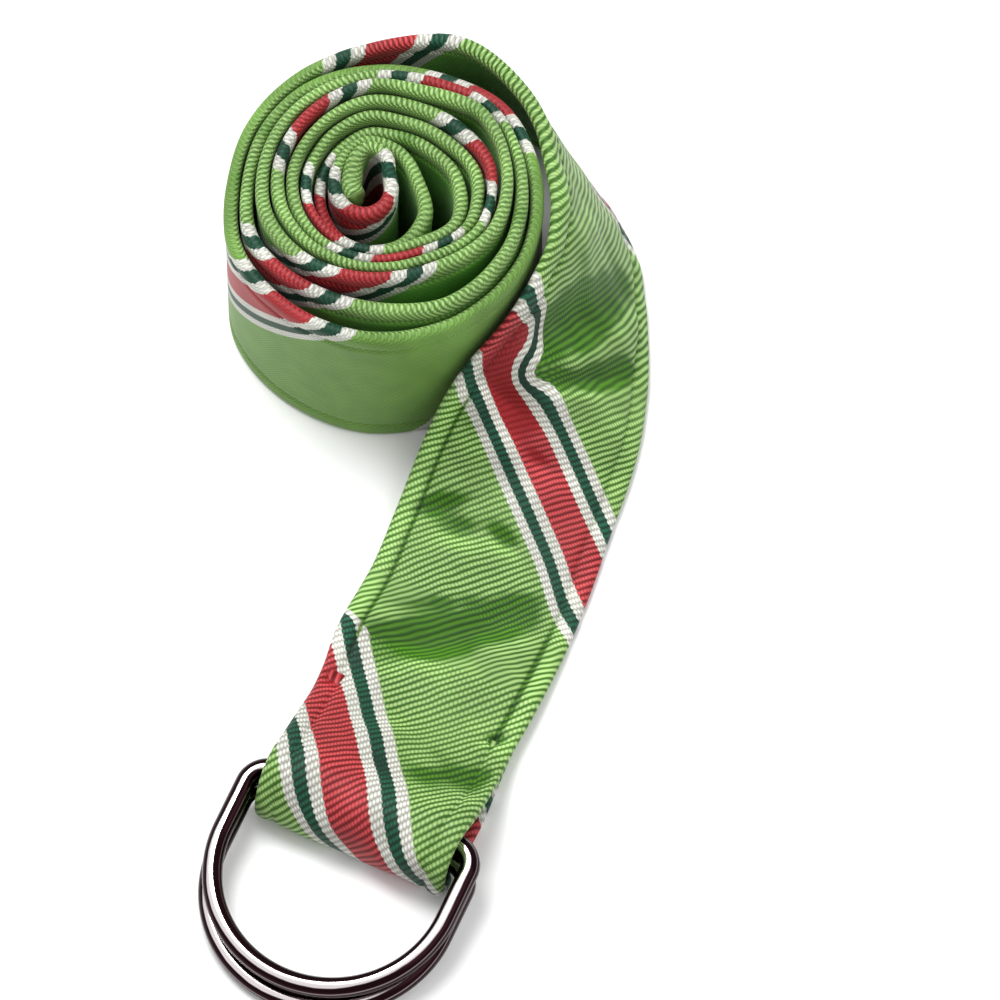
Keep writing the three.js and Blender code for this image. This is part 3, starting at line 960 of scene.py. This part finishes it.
def striped(nodes, stripe, ribs, colours):
    """The colours side by side, with borders that the ribs make slightly toothed."""
    half_period = STRIPE_PITCH / math.sqrt(2) / 2
    distance = nodes.math("PINGPONG", nodes.sway(stripe, ribs, STRIPE_TOOTH), half_period)
    edges = np.cumsum([RED_HALF, INNER_WHITE, TEAL, OUTER_WHITE]).tolist()
    colour = colours[0]
    for edge, beyond in zip(edges, colours[1:]):
        past = nodes.smooth(distance, edge - STRIPE_BLUR, edge + STRIPE_BLUR)
        colour = nodes.mix(past, colour, beyond)
    return colour


def shaded(nodes, colour, threads, painted_light, mottle):
    """The colour darker between threads and in creases, and lighter on slopes towards the roll: painted
    shade and painted light.
    """
    # Painted light on slopes towards the roll, varied by the mottle
    slope_light = nodes.math("MULTIPLY_ADD", nodes.math("MAXIMUM", painted_light, 0.0), LIT_SLOPE, 1.0)
    cloudy = nodes.sway(slope_light, mottle, MOTTLE_CLOUDS)
    # Painted shade between threads
    threaded = nodes.math("MULTIPLY_ADD", threads, THREAD_LIGHT, THREAD_SHADE)
    grey = nodes.add("CombineColor")
    brightness = nodes.math("MULTIPLY", threaded, cloudy)
    for socket in grey.inputs:
        nodes.set(socket, brightness)
    colour = nodes.mix(1.0, colour, grey.outputs[0], "MULTIPLY")
    # Painted shade in the creases
    crease_shaded = nodes.mix(1.0, colour, CREASE_PAINTED_SHADE, "MULTIPLY")
    return nodes.mix(nodes.smooth(nodes.attribute("crease"), *CREASE_RANGE), colour, crease_shaded)


def weave_bump(nodes, ribs, threads, rolled):
    """Ribs and threads as bump, weaker where the cloth is rolled up tight."""
    bump = nodes.add("Bump")
    nodes.set(bump.inputs["Distance"], WEAVE_HEIGHT * MM)
    nodes.set(bump.inputs["Strength"], nodes.math("MULTIPLY_ADD", rolled, ROLLED_BUMP_LOSS, 1.0))
    nodes.set(bump.inputs["Height"], nodes.math("MULTIPLY_ADD", threads, THREAD_HEIGHT, ribs))
    return bump.outputs[0]


def silk_material():
    """Ribbed silk in green with slanting stripes of red, white and teal, with painted light and shade in
    its colour.
    """
    nodes = Nodes("striped_silk")
    vector, stripe, rib = cloth_coordinates(nodes)
    ribs, threads = ribs_and_threads(nodes, vector, stripe, rib)
    painted_light = nodes.attribute("painted_light")
    rolled = nodes.attribute("rolled")
    mottle = nodes.noise(vector, *MOTTLE_NOISE)
    dent_shade = painted_dent_shade(nodes, painted_light, mottle)
    colours = stripe_colours(nodes, lit_ridges(nodes, vector, ribs), dent_shade, rolled)
    nodes.shade({
        "Base Color": shaded(nodes, striped(nodes, stripe, ribs, colours), threads, painted_light, mottle),
        "Normal": weave_bump(nodes, ribs, threads, rolled),
        "Roughness": SILK_ROUGHNESS,
        "Specular IOR Level": SILK_SPECULAR,
        "Sheen Weight": SILK_SHEEN,
        "Sheen Roughness": SILK_SHEEN_ROUGHNESS,
    })
    return nodes.material


def chrome_material():
    """Dark polished metal coloured with painted reflections: a dark ground, a bright painted highlight band
    and a dull one along the wire, above and below, and a low bright one at the back."""
    nodes = Nodes("chrome_painted_reflections")
    coordinates = nodes.add("TexCoord").outputs
    facing = nodes.add("VectorMath")
    facing.operation = "DOT_PRODUCT"
    nodes.set(facing.inputs[0], coordinates["Normal"])
    nodes.set(facing.inputs[1], tuple(unit(np.array(CHROME_PAINTED_LIGHT_TOWARDS)).tolist()))
    # Noises that waver the edges of the painted highlights
    highlight_jitter = nodes.noise(coordinates["Object"], *HIGHLIGHT_JITTER_NOISE)
    waver = nodes.noise(coordinates["Object"], *HIGHLIGHT_WAVER_NOISE)
    towards = nodes.sway(facing.outputs["Value"], highlight_jitter, HIGHLIGHT_JITTER_REACH)
    towards = nodes.math("ABSOLUTE", nodes.sway(towards, waver, HIGHLIGHT_WAVER_REACH))
    painted_dull_reflection = nodes.math("MULTIPLY", nodes.band(towards, DULL_REFLECTION_RISE, DULL_REFLECTION_FALL), DULL_REFLECTION_SHARE)
    back, level = nodes.split(coordinates["Normal"])[1:]
    painted_low_highlight = nodes.math(
        "MULTIPLY", nodes.band(level, LOW_HIGHLIGHT_RISE, LOW_HIGHLIGHT_FALL), nodes.smooth(back, *LOW_HIGHLIGHT_BACK)
    )
    # Painted reflections: dark ground, dull band and bright highlight bands, by the wire's facing
    colour = nodes.mix(painted_dull_reflection, srgb(CHROME_PAINTED_DARK_REFLECTION), srgb(CHROME_PAINTED_DULL_REFLECTION))
    colour = nodes.mix(nodes.smooth(towards, *PAINTED_HIGHLIGHT_BAND), colour, srgb(CHROME_PAINTED_HIGHLIGHT))
    colour = nodes.mix(painted_low_highlight, colour, srgb(CHROME_PAINTED_HIGHLIGHT))
    nodes.shade({"Base Color": colour, "Roughness": CHROME_ROUGHNESS, "Metallic": 1.0})
    return nodes.material


def floor_material():
    nodes = Nodes("pale_floor")
    nodes.shade({"Base Color": FLOOR_COLOUR, "Roughness": FLOOR_ROUGHNESS})
    return nodes.material


def add_camera():
    data = bpy.data.cameras.new("camera")
    camera = bpy.data.objects.new("camera", data)
    elevation = math.radians(CAMERA_ELEVATION)
    target = Vector(CAMERA_TARGET) * MM
    back = Vector((0, -math.cos(elevation), math.sin(elevation)))
    camera.location = target + back * CAMERA_DISTANCE * MM
    camera.rotation_euler = (math.pi / 2 - elevation, 0, 0)
    data.sensor_width = SENSOR_WIDTH
    data.lens = SENSOR_WIDTH * CAMERA_DISTANCE * PIXELS_PER_MM / PHOTO_PIXELS
    data.clip_start = CAMERA_NEAREST * MM
    data.clip_end = CAMERA_FARTHEST * MM
    bpy.context.scene.collection.objects.link(camera)
    bpy.context.scene.camera = camera


def add_floor():
    half = FLOOR_HALF_WIDTH
    mesh = bpy.data.meshes.new("floor")
    corners = [(-half, -half, 0.0), (half, -half, 0.0), (half, half, 0.0), (-half, half, 0.0)]
    mesh.from_pydata(corners, [], [(0, 1, 2, 3)])
    floor = bpy.data.objects.new("floor", mesh)
    floor.data.materials.append(floor_material())
    bpy.context.scene.collection.objects.link(floor)


def add_softbox(name, place, width, power):
    """A square light that points at the middle of the floor."""
    data = bpy.data.lights.new(name, "AREA")
    data.shape = "RECTANGLE"
    data.size = width
    data.size_y = width
    data.energy = power
    light = bpy.data.objects.new(name, data)
    light.location = place
    light.rotation_euler = (-Vector(place)).to_track_quat("-Z", "Y").to_euler()
    bpy.context.scene.collection.objects.link(light)


def add_studio():
    add_floor()
    add_softbox("key", **KEY_LIGHT)
    add_softbox("fill", **FILL_LIGHT)
    world = bpy.data.worlds.new("studio")
    world.use_nodes = True
    background = world.node_tree.nodes["Background"]
    background.inputs["Color"].default_value = SKY_COLOUR
    background.inputs["Strength"].default_value = SKY_STRENGTH
    bpy.context.scene.world = world
    bpy.context.scene.view_settings.view_transform = "Standard"


add_camera()
add_studio()

strap = build_strap()
strap.data.materials.append(silk_material())
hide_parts("strap")
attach(strap, "strap")

chrome = chrome_material()
for name, node, shift, lift in (
    ("chrome_ring_lower", "d_ring_lower", 0.0, 0.0),
    ("chrome_ring_upper", "d_ring_upper", UPPER_BAR_SHIFT, 2 * WIRE_RADIUS + RING_CLEARANCE),
):
    ring = build_ring(name, shift, lift)
    ring.data.materials.append(chrome)
    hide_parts(node)
    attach(ring, node)
